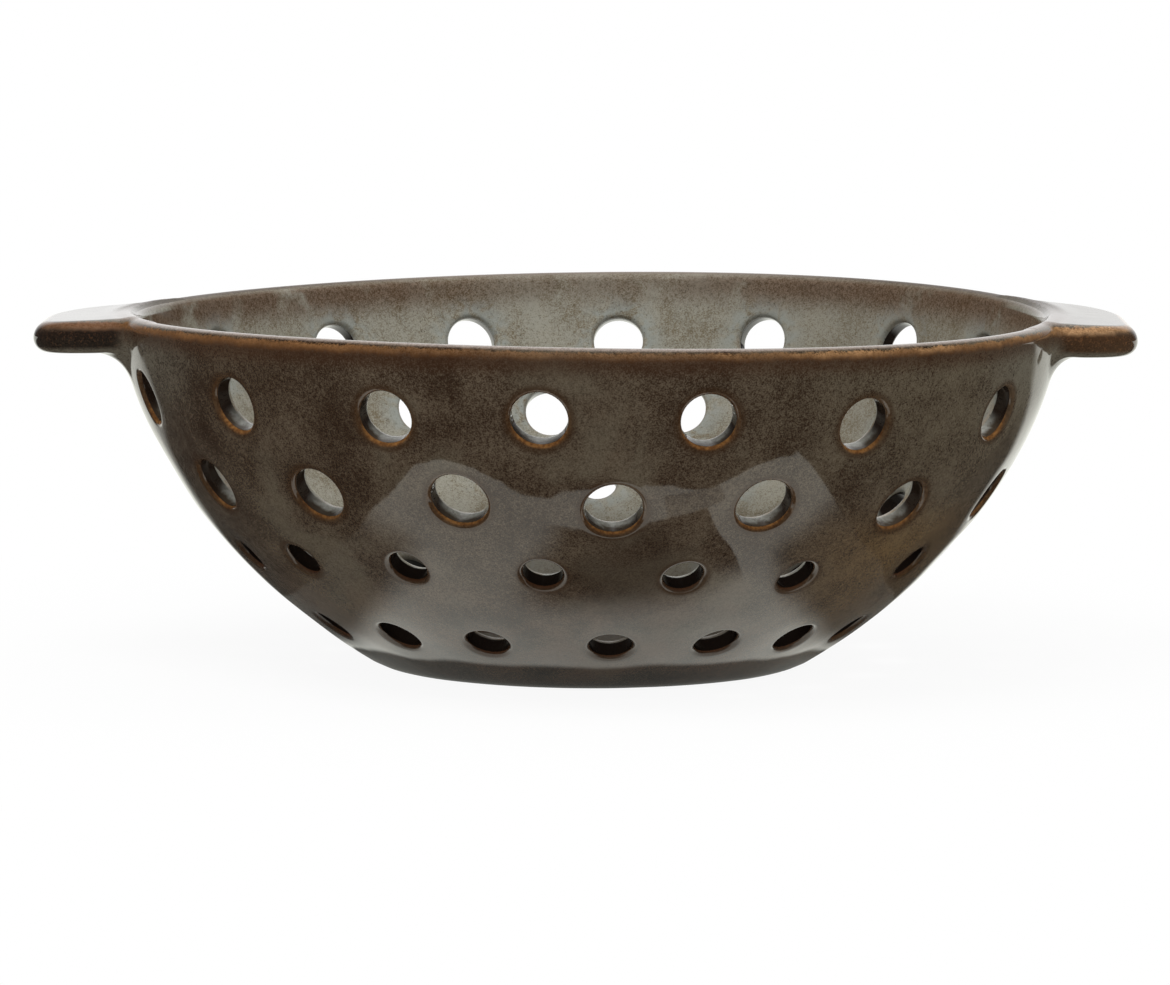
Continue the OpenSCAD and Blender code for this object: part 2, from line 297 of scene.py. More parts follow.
def bowl_mesh():
    """Points, faces, and each point's depth in the wall, gap to the nearest hole and lipness."""
    phi, q, group = [], [], []

    def add(p, s, g):
        start = sum(len(a) for a in phi)
        phi.append(np.asarray(p, float))
        q.append(np.asarray(s, float))
        group.append(np.full(len(p), g))
        return np.arange(start, start + len(p))

    edges = []

    def loop(ids):
        edges.extend(zip(ids.tolist(), np.roll(ids, -1).tolist()))

    lip = add(2 * math.pi * np.arange(LIP_COUNT) / LIP_COUNT, np.zeros(LIP_COUNT), -1)
    loop(lip)
    rings = []
    for k, hole in enumerate(HOLES):
        p, s = ring(hole, hole[2] + OUT_ROUND, 0, SHAPES[k])
        ids = add(p, s, k)
        loop(ids)
        rings.append(ids)
        for i, grade in enumerate(GRADES):
            p, s = ring(hole, hole[2] + OUT_ROUND + grade, 0.5 * ((i + 1) % 2))
            add(p, s, -1)
    rows = int(round(Q_END / STEP))
    for j in range(1, rows):
        s = Q_END * j / rows
        r = np.interp(s, Q, outer[:, 0])
        n = max(6, int(round(2 * math.pi * r / STEP)))
        p = 2 * math.pi * (np.arange(n) + 0.5 * (j % 2)) / n
        s = np.full(n, s)
        keep = gap_to_holes(p, s) > OUT_ROUND + GRADES[-1] + 0.5 * STEP
        add(p[keep], s[keep], -1)
    phi, q, group = np.concatenate(phi), np.concatenate(q), np.concatenate(group)
    rho = 1000 * np.interp(q, Q, RHO)
    flat = [Vector((float(a), float(b))) for a, b in zip(rho * np.sin(phi), -rho * np.cos(phi))]
    _, _, faces, source, _, _ = delaunay_2d_cdt(flat, edges, [], 0, 1e-7)
    back = [ids[0] for ids in source]
    tris = np.array([[back[i] for i in f] for f in faces], int)
    g = group[tris]
    tris = tris[~((g[:, 0] >= 0) & (g[:, 0] == g[:, 1]) & (g[:, 1] == g[:, 2]))]

    gap = gap_to_holes(phi, q)
    n = len(phi)
    out_p = place(phi, q, dish(gap) / WALL)
    phi_in, q_in = phi.copy(), q.copy()
    for k, hole in enumerate(HOLES):
        phi_in[rings[k]], q_in[rings[k]] = ring(hole, hole[2] + IN_ROUND, 0, SHAPES[k])
    in_p = place(phi_in, q_in, np.ones(n))
    # turn the outside's triangles so that they face out
    a, b, c = (out_p[tris[:, i]] for i in range(3))
    up = np.einsum("ij,ij->i", np.cross(b - a, c - a), (a + b + c) / 3 - np.array([0, 0, 90]))
    tris[up < 0] = tris[up < 0][:, ::-1]
    points, depth = [out_p, in_p], [np.zeros(n), np.ones(n)]
    edge, lipness = [gap, gap], [np.zeros(n), np.zeros(n)]
    quads = []
    total = 2 * n

    def strip(first, second, flip=False):
        f = np.stack([first, np.roll(first, -1), np.roll(second, -1), second], 1)
        quads.append(f[:, ::-1] if flip else f)

    # the way in through a hole, from round to round: how much wider than it, and how deep
    steps = []
    sunk = float(dish(OUT_ROUND)) / WALL
    for a in np.linspace(0, 90, OUT_STEPS)[1:]:
        steps.append((OUT_ROUND * (1 - math.sin(math.radians(a))),
                      sunk + OUT_ROUND / WALL * (1 - math.cos(math.radians(a)))))
    for t in BORE_DEPTHS:
        steps.append((0.0, t))
    for a in np.linspace(90, 0, IN_STEPS)[:-1]:
        steps.append((IN_ROUND * (1 - math.sin(math.radians(a))),
                      1 - IN_ROUND / WALL * (1 - math.cos(math.radians(a)))))
    for k, hole in enumerate(HOLES):
        in_floor = hole[3]
        before = rings[k]
        for extra, t in steps:
            p, s = ring(hole, hole[2] + extra, 0, SHAPES[k])
            points.append(place(p, s, np.full(HOLE_COUNT, t)))
            depth.append(np.full(HOLE_COUNT, t))
            inside_gap = extra if extra > 0 else -WALL * min(t, 1 - t)
            edge.append(np.full(HOLE_COUNT, inside_gap))
            lipness.append(np.zeros(HOLE_COUNT))
            ids = np.arange(total, total + HOLE_COUNT)
            total += HOLE_COUNT
            strip(before, ids, in_floor)
            before = ids
        strip(before, rings[k] + n, in_floor)
    # over the lip, from the outside to the inside
    before = lip
    lip_phi = phi[lip]
    for i in range(1, LIP_STEPS):
        a = RIM_ANGLE - 180 * i / LIP_STEPS
        at = LIP_C + LIP_R * unit(a)
        points.append(np.stack([at[0] * np.sin(lip_phi), -at[0] * np.cos(lip_phi),
                                np.full(LIP_COUNT, at[1])], 1))
        depth.append(np.full(LIP_COUNT, i / LIP_STEPS))
        edge.append(np.full(LIP_COUNT, FAR))
        lipness.append(np.full(LIP_COUNT, 1.0))
        ids = np.arange(total, total + LIP_COUNT)
        total += LIP_COUNT
        strip(before, ids)
        before = ids
    strip(before, lip + n)
    faces = np.vstack([tris, tris[:, ::-1] + n]).tolist() + np.vstack(quads).tolist()
    return (np.vstack(points), faces, np.concatenate(depth), np.concatenate(edge),
            np.concatenate(lipness))


def make_piece(name, points, faces, attributes, normals=None):
    """A smooth mesh object, with a value per point for each attribute."""
    mesh = bpy.data.meshes.new(name)
    mesh.from_pydata((points * MM).tolist(), [], faces)
    mesh.update()
    for key, values in attributes.items():
        layer = mesh.attributes.new(key, "FLOAT", "POINT")
        layer.data.foreach_set("value", np.asarray(values, np.float32))
    mesh.polygons.foreach_set("use_smooth", np.ones(len(mesh.polygons), bool))
    if normals is not None:
        mesh.normals_split_custom_set_from_vertices([tuple(v) for v in normals])
    piece = bpy.data.objects.new(name, mesh)
    bpy.context.scene.collection.objects.link(piece)
    return piece


pts, bowl_faces, depth, edge, lipness = bowl_mesh()
# the lip's colours give way to the lug's within this angle of the middle of a lug
ROOT_HALF_ANGLE, ROOT_FADE = 21, 7
root_turn = np.degrees(np.arctan2(np.abs(pts[:, 1]), np.abs(pts[:, 0])))
at_root = ease((ROOT_HALF_ANGLE - root_turn) / ROOT_FADE) * lipness
bowl = make_piece(
    "stoneware_bowl", finish_points(pts), bowl_faces,
    {"depth": depth, "edge_gap": np.clip(edge, -3, 6), "from_rim": BOWL_H - pts[:, 2],
     "handle": np.zeros(len(pts)), "lug_root": at_root})


# The handles
HANDLE_TOP = BOWL_H - HANDLE_DROP
HANDLE_MID = HANDLE_TOP - HANDLE_T / 2
ROOT_R = LIP_C[0]
# how far a lug's tip droops and thins, and how far the lug rises where it meets the lip
DROOP, DROOP_FROM, TIP_THINNING = 0.8, 99, 0.3
LIP_LIFT, LIFT_FROM, LIFT_FADE = 0.28, 99.5, 7
# in plan the lug's outline runs on into a disc, with a fillet. The disc lies out of sight in the
# rim, and draws in past the lug's ends
OUTLINE_DEPTH = 40.0
DISC_R = RIM_R - HANDLE_T / 2 - 1.2
PAST_LUG, PAST_FADE, DRAWN_IN = 35, 10, 7
# how widely clay is smeared on top of the lug, and below it at its ends
TOP_BLEND, END_BLEND = 1.6, 2.6
# the grid of the lug's net, and the steps that bring its points onto the exact surface
NET_STEP, NEWTON_STEPS = 0.62, 4
# the bowl's hollow, where the net has no work: within this radius above this height, and more
# than 1 mm inside the wall's inner face, which is taken as upright above the second height
HOLLOW_R, HOLLOW_Z, UPRIGHT_Z = 95.0, 73.0, 74.0
# beside the lug its mesh lies a little under the bowl's, goes no deeper into the wall than this
# and no further in over the lip
HIDDEN, DEEPEST, INNERMOST_R = 0.012, 1.2, 96.6


def soft_min(a, b, k):
    """The lesser of two distances, with a fillet about k wide where they meet."""
    h = np.maximum(k - np.abs(a - b), 0) / k
    return np.minimum(a, b) - h * h * k / 4


def round_wall(p):
    """Radius, distance from the centre of the upper wall's curve, and lean, for points."""
    r = np.hypot(p[:, 0], p[:, 1])
    du, dz = r - UPPER_C[0], UPPER_C[1] - p[:, 2]
    return r, np.hypot(du, dz), np.degrees(np.arctan2(dz, du))


def hole_gap(p, side):
    """Distance from the nearest hole's wall, for points near the outside of the upper wall."""
    lean = round_wall(p)[2]
    q = UPPER_R * np.radians(np.maximum(lean - RIM_ANGLE, 0))
    return gap_to_holes(np.arctan2(side * p[:, 0], -p[:, 1]), q)


def skin(p, gap):
    """Signed distance to the wall and its lip."""
    r, away, lean = round_wall(p)
    arc = np.abs(away - (UPPER_R - LIP_R)) - LIP_R + dish(gap)
    lip = np.hypot(r - LIP_C[0], p[:, 2] - LIP_C[1]) - LIP_R
    return np.where(lean > RIM_ANGLE, arc, lip)


def slab(p, form):
    """Signed distance to the lug: a flat outline, rounder at its back, that droops to its tip."""
    out = np.clip((np.abs(p[:, 0]) - DROOP_FROM) / form["reach"], 0, 1.2) ** 2
    half = HANDLE_T / 2 - TIP_THINNING * out
    mid = (form["back"] - form["front"]) / 2
    corner = np.where(p[:, 1] < mid, form["front_r"], form["back_r"]) - HANDLE_T / 2
    tip = RIM_R + form["reach"] - HANDLE_T / 2
    qx = np.abs(np.abs(p[:, 0]) - tip + OUTLINE_DEPTH) - (OUTLINE_DEPTH - corner)
    qy = np.abs(p[:, 1] - mid) - ((form["front"] + form["back"]) / 2 - HANDLE_T / 2 - corner)
    box = np.hypot(np.maximum(qx, 0), np.maximum(qy, 0))
    box += np.minimum(np.maximum(qx, qy), 0) - corner
    r = np.hypot(p[:, 0], p[:, 1])
    disc = r - (DISC_R - DRAWN_IN * ease((np.abs(p[:, 1]) - PAST_LUG) / PAST_FADE))
    core = soft_min(box, disc, 8 + 5 * np.tanh(p[:, 1] / 9))
    lift = LIP_LIFT * (1 - ease((r - LIFT_FROM) / LIFT_FADE))
    dz = p[:, 2] - (HANDLE_MID + lift - DROOP * out)
    body = np.where(core > 0, np.hypot(np.maximum(core, 0), dz), np.abs(dz)) - half
    return np.maximum(body, ROOT_R - r)


def blend_width(p, gap, form):
    """How wide the clay is smeared between lug and wall: wide below the middle, tight on top."""
    low = ease((HANDLE_MID + 0.5 - p[:, 2]) / 4)
    ends = ease((np.abs(p[:, 1]) - 17) / 11)
    clear = ease((gap - OUT_ROUND) / 7)
    wider = form["fillet"] - TOP_BLEND - (form["fillet"] - END_BLEND) * ends
    return TOP_BLEND + low * clear * wider


def fields(p, form):
    """Distances to the nearest hole, the wall and the lug, and how wide the last two blend."""
    gap = hole_gap(p, form["side"])
    return gap, skin(p, gap), slab(p, form), blend_width(p, gap, form)


def joined(p, form):
    """The lug, the wall and the blend between them, as one field."""
    _, s, lug, k = fields(p, form)
    return soft_min(lug, s + HIDDEN, k)


def shell(p, form):
    """The lug and its blend, which dives under the wall's skin where it ends."""
    gap, s, lug, k = fields(p, form)
    u = soft_min(lug, s + HIDDEN, k)
    # it keeps to the outer half of the wall, and to the top of the lip
    r, away, lean = round_wall(p)
    inward = np.where(lean > RIM_ANGLE, UPPER_R - LIP_R - away, INNERMOST_R - r)
    return np.maximum.reduce([u, -(s + DEEPEST), lug - k - 0.5, OUT_ROUND + 0.1 - gap, inward])


def surface_net(f, low, high, step):
    """A quad mesh of the zero level of f."""
    n = [int(math.ceil((b - a) / step)) + 1 for a, b in zip(low, high)]
    axes = [a + step * np.arange(k) for a, k in zip(low, n)]
    grid = np.stack(np.meshgrid(*axes, indexing="ij"), -1)
    value = f(grid.reshape(-1, 3)).reshape(n)
    total, count = np.zeros((*n, 3)), np.zeros(n)
    quads = []
    for ax in range(3):
        first, second = [slice(None)] * 3, [slice(None)] * 3
        first[ax], second[ax] = slice(0, -1), slice(1, None)
        a, b = value[tuple(first)], value[tuple(second)]
        mask = (a < 0) != (b < 0)
        at = np.argwhere(mask)
        a, b = a[mask], b[mask]
        pos = grid[tuple(first)][mask]
        pos[:, ax] += step * a / (a - b)
        u, w = ((1, 2), (2, 0), (0, 1))[ax]
        inside = (at[:, u] > 0) & (at[:, w] > 0)
        at, pos, a = at[inside], pos[inside], a[inside]
        corner = []
        for du, dw in ((0, 0), (-1, 0), (-1, -1), (0, -1)):
            c = at.copy()
            c[:, u] += du
            c[:, w] += dw
            np.add.at(total, tuple(c.T), pos)
            np.add.at(count, tuple(c.T), 1)
            corner.append(np.ravel_multi_index(tuple(c.T), n))
        quad = np.stack(corner, 1)
        quad[a > 0] = quad[a > 0][:, ::-1]
        quads.append(quad)
    quads = np.vstack(quads)
    used, quads = np.unique(quads, return_inverse=True)
    quads = quads.reshape(-1, 4)
    points = total.reshape(-1, 3)[used] / count.reshape(-1)[used][:, None]
    return points, quads


def slope(f, p, h=0.02):
    """The gradient of f by differences."""
    g = np.zeros_like(p)
    for i in range(3):
        d = np.zeros(3)
        d[i] = h
        g[:, i] = (f(p + d) - f(p - d)) / (2 * h)
    return g


def turned_normals(p, normal):
    """The normals after finish_points has moved the surface."""
    first = np.cross(normal, np.where(np.abs(normal[:, 2:]) < 0.7, [0, 0, 1.0], [1.0, 0, 0]))
    first /= np.linalg.norm(first, axis=1)[:, None]
    second = np.cross(normal, first)
    h = 0.05
    a = finish_points(p + h * first) - finish_points(p - h * first)
    b = finish_points(p + h * second) - finish_points(p - h * second)
    n = np.cross(a, b)
    return n / np.linalg.norm(n, axis=1)[:, None]


def handle_piece(name, form):
    """A lug, worked out at the right and mirrored for the left."""
    away = np.array([form["side"], 1, 1])

    def whole(p):
        return joined(p * away, form)

    def near_only(p):
        """The shell's field, worked out only outside the bowl's hollow."""
        value = np.full(len(p), FAR)
        r = np.hypot(p[:, 0], p[:, 1])
        down = UPPER_C[1] - np.minimum(p[:, 2], UPRIGHT_Z)
        inner_r = UPPER_C[0] + np.sqrt(np.maximum((UPPER_R - WALL) ** 2 - down ** 2, 0))
        near = ((r > HOLLOW_R) | (p[:, 2] < HOLLOW_Z)) & (r > inner_r - 1)
        value[near] = shell(p[near], form)
        return value

    low, high = (82.0, -50.0, 52.0), (RIM_R + form["reach"] + 1.5, 50.0, BOWL_H + 1.8)
    p, quads = surface_net(near_only, low, high, NET_STEP)
    p = p * away
    # what shows is brought onto the exact surface; the rest is out of sight in the wall
    outside = (np.abs(whole(p)) < 0.4) & (shell(p * away, form) < 0.2)
    for _ in range(NEWTON_STEPS):
        g = slope(whole, p)
        step = (whole(p) / np.maximum((g * g).sum(1), 1e-6))[:, None] * g
        p = np.where(outside[:, None], p - step, p)
    normal = slope(whole, p)
    normal /= np.maximum(np.linalg.norm(normal, axis=1), 1e-6)[:, None]
    normal = turned_normals(p, normal)
    # how far each point counts as lug, for the colours
    lug = np.clip(1 - np.maximum(slab(p * away, form), 0) / 2.5, 0, 1)
    lug *= ease((np.hypot(p[:, 0], p[:, 1]) - RIM_R + 0.5) / 3.5)
    a, b, c = (p[quads[:, i]] for i in range(3))
    facing = np.einsum("ij,ij->i", np.cross(b - a, c - a), normal[quads].mean(1))
    if np.median(facing) < 0:
        quads = quads[:, ::-1]
    return make_piece(
        name, finish_points(p), quads.tolist(),
        {"depth": np.zeros(len(p)), "edge_gap": np.full(len(p), 6.0),
         "from_rim": BOWL_H - p[:, 2], "handle": lug, "lug_root": lug},
        normals=normal)


left = handle_piece("lug_handle_left", {
    "reach": LEFT_REACH, "front": 26.5, "back": 27.5, "front_r": 14.0, "back_r": 24.0,
    "fillet": 8.5, "side": -1})
right = handle_piece("lug_handle_right", {
    "reach": RIGHT_REACH, "front": 26.5, "back": 29.5, "front_r": 14.0, "back_r": 21.0,
    "fillet": 7.0, "side": 1})


# Node trees
def srgb(text):
    """A colour as it looks on screen, such as 4a3d31, as linear values."""
    v = [int(text[i:i + 2], 16) / 255 for i in (0, 2, 4)]
    return tuple(c / 12.92 if c <= 0.04045 else ((c + 0.055) / 1.055) ** 2.4 for c in v) + (1,)


class Net:
    """A node tree with short calls for the nodes that are used here."""

    def __init__(self, tree):
        self.tree = tree
        tree.nodes.clear()
        self.coords = None

    def add(self, kind, inputs=None, **props):
        """A node with its inputs, each a value or another node's output."""
        node = self.tree.nodes.new(kind)
        for key, value in props.items():
            setattr(node, key, value)
        for key, value in (inputs or {}).items():
            self.put(node.inputs[key], value)
        return node

    def put(self, socket, value):
        if isinstance(value, bpy.types.NodeSocket):
            self.tree.links.new(value, socket)
        else:
            socket.default_value = value

    def math(self, op, a, b=0.0):
        return self.add("ShaderNodeMath", {0: a, 1: b}, operation=op).outputs[0]

    def both(self, first, *others):
        """The product of masks."""
        for other in others:
            first = self.math("MULTIPLY", first, other)
        return first

    def total(self, first, *others):
        """The sum of values."""
        for other in others:
            first = self.math("ADD", first, other)
        return first

    def centred(self, fac, weight):
        """A noise as a shift up or down."""
        return self.both(self.math("SUBTRACT", fac, 0.5), weight)

    def rest(self, mask):
        """Where a mask is not."""
        return self.math("SUBTRACT", 1.0, mask)

    def span(self, value, low, high, a=0.0, b=1.0):
        """A smooth step: a at low, b at high."""
        node = self.add("ShaderNodeMapRange", {"Value": value, "From Min": low, "From Max": high,
                                               "To Min": a, "To Max": b},
                        interpolation_type="SMOOTHSTEP")
        return node.outputs[0]

    def mix(self, fac, a, b):
        node = self.add("ShaderNodeMix", data_type="RGBA")
        self.put(node.inputs["Factor"], fac)
        colours = [s for s in node.inputs if s.type == "RGBA"]
        self.put(colours[0], a)
        self.put(colours[1], b)
        return [s for s in node.outputs if s.type == "RGBA"][0]

    def attribute(self, name):
        return self.add("ShaderNodeAttribute", attribute_name=name).outputs["Fac"]

    def place_mm(self, stretch=(1, 1, 1)):
        """Object coordinates in millimetres."""
        if self.coords is None:
            self.coords = self.add("ShaderNodeTexCoord").outputs["Object"]
        node = self.add("ShaderNodeMapping", {"Vector": self.coords})
        node.inputs["Scale"].default_value = [1000 * s for s in stretch]
        return node.outputs[0]

    def noise(self, size, detail=2.0, rough=0.5, warp=0.0, stretch=(1, 1, 1), shift=0.0):
        at = self.place_mm(stretch)
        if shift:
            at = self.add("ShaderNodeVectorMath", {0: at, 1: (shift, shift * 0.7, -shift)},
                          operation="ADD").outputs[0]
        node = self.add("ShaderNodeTexNoise", {
            "Vector": at, "Scale": 1 / size, "Detail": detail, "Roughness": rough,
            "Distortion": warp})
        return node.outputs["Fac"]

    def part(self, vector, axis):
        return self.add("ShaderNodeSeparateXYZ", {0: vector}).outputs[axis]

    def by_ray(self, plain, glossy, camera):
        """One shader for glossy rays, one for the camera's, and a plain one for the rest."""
        path = self.add("ShaderNodeLightPath").outputs
        first = self.add("ShaderNodeMixShader", {
            0: path["Is Glossy Ray"], 1: plain.outputs[0], 2: glossy.outputs[0]})
        return self.add("ShaderNodeMixShader", {
            0: path["Is Camera Ray"], 1: first.outputs[0], 2: camera.outputs[0]}).outputs[0]


def glaze_masks(n):
    """Where a point is on the bowl, in millimetres or from 0 to 1, and the noises over it."""
    m = SimpleNamespace(
        depth=n.attribute("depth"), gap=n.attribute("edge_gap"), below=n.attribute("from_rim"),
        lug=n.attribute("handle"), root=n.attribute("lug_root"),
        up=n.part(n.add("ShaderNodeNewGeometry").outputs["Normal"], "Z"),
        right=n.part(n.place_mm(), "X"), front=n.both(n.part(n.place_mm(), "Y"), -1.0),
        cloud=n.noise(30, 3, 0.55, 0.5), patch=n.noise(10, 3, 0.6, 0.3, shift=31),
        halo=n.noise(3.5, 3, 0.6, 0.8, shift=19),
        grit=n.noise(0.32, 2, 0.6), flour=n.noise(0.85, 2, 0.6, shift=12))
    m.beside = n.math("ABSOLUTE", m.right)
    m.on_right = n.span(m.right, -5, 5)
    m.speckle = n.total(0.5, n.centred(m.grit, 1.1), n.centred(m.flour, 0.8))
    m.mottle = n.total(0.5, n.centred(m.cloud, 0.62), n.centred(m.patch, 0.42),
                       n.centred(m.grit, 0.95), n.centred(m.flour, 0.45))
    # painted shade: dark on the inside floor, and on the holes' walls in the low rows, so that the
    # low holes look dark
    floor_shade_edge = n.total(m.below, n.centred(m.patch, 5.0), n.centred(m.halo, 3.0))
    m.pool = n.both(n.span(floor_shade_edge, 62.5, 69.5), n.span(m.depth, 0.6, 0.8))
    m.in_bore = n.span(m.gap, 0.12, -0.5)
    far_right = n.both(n.span(m.right, 20, 40), n.span(m.front, 0, -20))
    m.low_rows = n.both(n.span(m.below, 39, 44), n.rest(far_right))
    return m


def outside_colour(n, m):
    """Iron specks over a grey-green glaze, thicker in some clouds than in others."""
    both = n.both
    colour = n.mix(n.span(m.mottle, 0.26, 0.83), srgb("2c1e13"), srgb("605445"))
    colour = n.mix(both(n.span(m.cloud, 0.5, 0.66), 0.3), colour, srgb("5f5a4c"))
    # greyer at the upper right
    grey = both(n.span(m.right, 12, 75), n.span(m.below, 42, 20), n.span(m.mottle, 0.2, 0.6))
    colour = n.mix(both(grey, 0.36), colour, srgb("66604f"))
    # a brown stain low on the front
    aside, down = n.total(m.right, -7.0), n.total(m.below, -48.0)
    stain = n.math("SQRT", n.total(both(aside, aside), both(down, down)))
    stain = n.span(n.total(stain, n.centred(m.patch, 12.0)), 19, 6)
    colour = n.mix(both(stain, n.span(m.front, 10, 40), 0.55), colour, srgb("2b1f15"))
    # browner low down, olive at the lower right, and grey under the lugs
    low = n.span(m.below, 46, 70)
    colour = n.mix(both(low, n.span(m.patch, 0.35, 0.6), 0.5), colour, srgb("5e4737"))
    olive = both(n.span(m.right, 34, 62), n.span(m.below, 32, 46), n.span(m.mottle, 0.2, 0.7))
    colour = n.mix(both(olive, 0.75), colour, srgb("6d5636"))
    by_lug = both(n.span(m.beside, 76, 92), n.span(m.below, 24, 8), n.span(m.mottle, 0.15, 0.6))
    return n.mix(both(by_lug, 0.6), colour, srgb("6b675b"))


def inside_colour(n, m):
    """Grey-green with brown veils, grey round the holes, and painted shade: darker low down and
    darkest on the floor.
    """
    both = n.both
    streak = n.noise(9, 4, 0.6, 0.4, stretch=(1, 1, 0.55), shift=5)
    veil = n.total(0.5, n.centred(streak, 0.9), n.centred(m.grit, 1.1), n.centred(m.flour, 0.5))
    colour = n.mix(n.span(veil, 0.18, 0.70), srgb("6f6450"), srgb("9c998c"))
    near_hole = both(n.span(m.gap, 1.0, 7.5, 1.0, 0.0), n.span(m.halo, 0.35, 0.6), 0.75)
    colour = n.mix(near_hole, colour, srgb("979c97"))
    colour = n.mix(both(n.span(m.right, 10, 80), 0.3), colour, srgb("5f5545"))
    # painted shade, darker low down inside
    colour = n.mix(both(n.span(m.below, 44, 62), 0.74), colour, srgb("39332a"))
    # painted shade on the inside floor, nearly black
    floor_shade_colour = n.mix(n.span(m.mottle, 0.25, 0.75), srgb("1a140e"), srgb("352b20"))
    return n.mix(both(m.pool, 0.92), colour, floor_shade_colour)


def colour_holes(n, m, colour):
    """Rusty edges in a dark halo, and painted light and shade in the holes' walls: lit grey below,
    dark above, and dark in the low rows.
    """
    both = n.both
    around = both(n.span(m.gap, 2.3, 1.0), n.span(m.depth, 0.5, 0.3))
    colour = n.mix(both(around, 0.6), colour, srgb("33200f"))
    edge = both(n.span(m.gap, -0.3, 0.05), n.span(m.gap, 1.0, 0.45),
                n.span(m.depth, 0.8, 0.6, 0.25, 1.0), n.span(m.up, -0.1, 0.5, 0.12, 0.95))
    rust = n.mix(n.span(m.flour, 0.3, 0.7), srgb("5f3d20"), srgb("8a6034"))
    rust = n.mix(n.span(m.below, 37, 44), rust, srgb("432a1a"))
    colour = n.mix(edge, colour, rust)
    # painted light and shade: the walls lit grey where they face up and further in, dark where
    # they face down or lie near the outside, and dark all over in the low rows
    lit = n.mix(n.span(m.flour, 0.3, 0.7), srgb("77756d"), srgb("8c8c85"))
    lit_depth = n.span(n.total(m.depth, n.centred(m.halo, 0.6)), 0.35, 0.65)
    lit = n.mix(lit_depth, srgb("40372d"), lit)
    bore = n.mix(n.span(m.up, 0.2, 0.85), srgb("221913"), lit)
    bore = n.mix(m.low_rows, bore, srgb("120d0a"))
    return n.mix(both(m.in_bore, n.span(m.depth, 1.0, 0.75, 0.4, 1.0)), colour, bore)


def colour_rim(n, m, colour):
    """The lip and the lugs: an umber band, lug sides with painted shade on the left and painted
    light on the right, a tan edge, and a crest with a painted highlight in front and brown at the
    back.
    """
    both = n.both
    wander = n.centred(n.noise(3.2, 3, 0.6, shift=17), 1.6)
    from_lip = n.total(m.below, wander, n.centred(m.grit, 0.9), n.centred(m.flour, 0.7))
    outer_side = n.span(m.depth, 0.75, 0.5)
    umber = both(n.span(from_lip, 1.4, 2.4), n.span(from_lip, 7.0, 2.8), outer_side)
    colour = n.mix(both(umber, 0.65), colour, srgb("3a2415"))
    # painted light and shade on the lug sides: the left lug is painted darker, and the right lug
    # lighter in its light specks
    lug_side = both(m.lug, n.span(m.up, 0.75, 0.3), n.span(m.up, -0.85, -0.5))
    side = n.mix(n.span(m.speckle, 0.5, 0.9), n.mix(m.on_right, srgb("120b08"), srgb("3c2817")),
                 n.mix(m.on_right, srgb("452a18"), srgb("6b4526")))
    colour = n.mix(both(lug_side, 0.85), colour, side)
    # the tan edge, where the glaze ran thin
    tan = both(n.span(from_lip, 0.5, 1.1), n.span(from_lip, 2.9, 1.5), outer_side)
    tan = both(tan, n.span(m.up, 0.985, 0.93), n.span(m.beside, 12, 60, 0.6, 1.0))
    thin = n.mix(n.span(m.right, -20, 60), srgb("805c3b"), srgb("a37d56"))
    thin = n.mix(both(n.span(m.patch, 0.42, 0.62), 0.55), thin, srgb("573b24"))
    thin = n.mix(n.span(from_lip, 0.8, 2.6), thin, srgb("553822"))
    thin = n.mix(m.lug, thin, n.mix(m.on_right, srgb("785842"), srgb("b48d66")))
    thin = n.mix(n.span(m.speckle, 0.75, 0.25, 0.0, 0.65), thin, srgb("4a3018"))
    colour = n.mix(tan, colour, thin)
    # the crest: a pale painted highlight in front, brown at the back
    crest = both(n.span(m.up, 0.72, 0.95), n.span(m.below, 2.2, 0.5), n.rest(m.root))
    crest_highlight = n.mix(n.span(m.speckle, 0.25, 0.75), srgb("75655a"), srgb("95867c"))
    brown = n.mix(n.span(m.speckle, 0.3, 0.7), srgb("2f2118"), srgb("544030"))
    brown = n.mix(n.span(m.beside, 75, 25), brown, srgb("74675c"))
    brown_or_highlight = n.mix(n.span(m.front, -20, 40), brown, crest_highlight)
    colour = n.mix(both(crest, 0.85), colour, brown_or_highlight)
    by_root = both(m.root, n.span(m.up, 0.4, 0.8), n.span(m.below, 3.0, 1.0),
                   n.span(m.depth, 0.2, 0.45))
    drab = n.mix(n.span(m.speckle, 0.3, 0.7), srgb("5a4f43"), srgb("766a5c"))
    colour = n.mix(both(by_root, 0.9), colour, drab)
    inner_lip = both(n.span(m.depth, 0.6, 0.9), n.span(from_lip, 10.0, 3.0),
                     n.span(m.up, 0.95, 0.75), n.rest(m.root),
                     n.span(m.beside, 10, 50, 0.6, 1.0), n.span(m.patch, 0.22, 0.48))
    inner_brown = n.mix(n.span(m.speckle, 0.2, 0.8), srgb("46311f"), srgb("705a49"))
    return n.mix(both(inner_lip, 0.85), colour, inner_brown)


